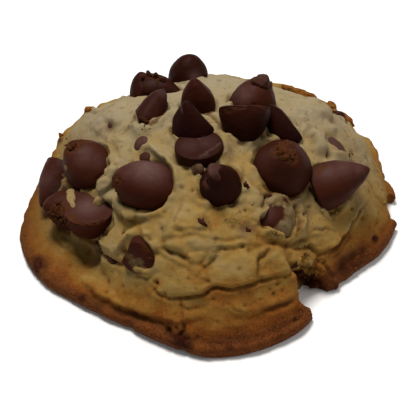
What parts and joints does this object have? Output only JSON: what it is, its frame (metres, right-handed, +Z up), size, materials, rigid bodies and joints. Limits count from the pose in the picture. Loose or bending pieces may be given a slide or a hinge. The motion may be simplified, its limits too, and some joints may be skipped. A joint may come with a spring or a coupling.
{
  "type": "chocolate chip cookie",
  "caption": "Thick round chocolate chip cookie: a pale cracked mound of baked dough on a thin browned rim, with whole chocolate chips standing in its top and sides.",
  "frame": {"origin": "middle of the flat base", "axes": "+Z up out of the crown, -Y towards the front, where the crust is split at the rim"},
  "size_m": [0.0834, 0.084, 0.0325],
  "materials": {
    "baked_dough": "matte baked crumb, pale cream on the mound, golden at the front and browned at the rim",
    "chocolate": "dark chocolate with a soft satin sheen and a faint grey bloom"
  },
  "bodies": {
    "root": {"dough": "baked_dough", "chip_base_up": "chocolate", "chip_bowl": "chocolate", "chip_right_large": "chocolate", "chip_left_blunt": "chocolate", "chip_left_broken": "chocolate", "chip_left_large": "chocolate", "chip_middle_front": "chocolate", "chip_right_lying": "chocolate", "chip_crest_dome": "chocolate", "chip_crest_side": "chocolate", "chip_crest_crumbled": "chocolate", "chip_rear_left": "chocolate", "chip_rear_upright": "chocolate", "chip_middle_upright": "chocolate", "chip_rear_knob": "chocolate", "chip_rear_dark": "chocolate", "chip_left_low": "chocolate", "chip_left_edge": "chocolate", "chip_front_torn": "chocolate", "chip_right_smeared": "chocolate", "chip_back_low": "chocolate", "chip_back_left": "chocolate", "chip_back_flush": "chocolate", "chip_back_right": "chocolate"}
  },
  "joints": []
}
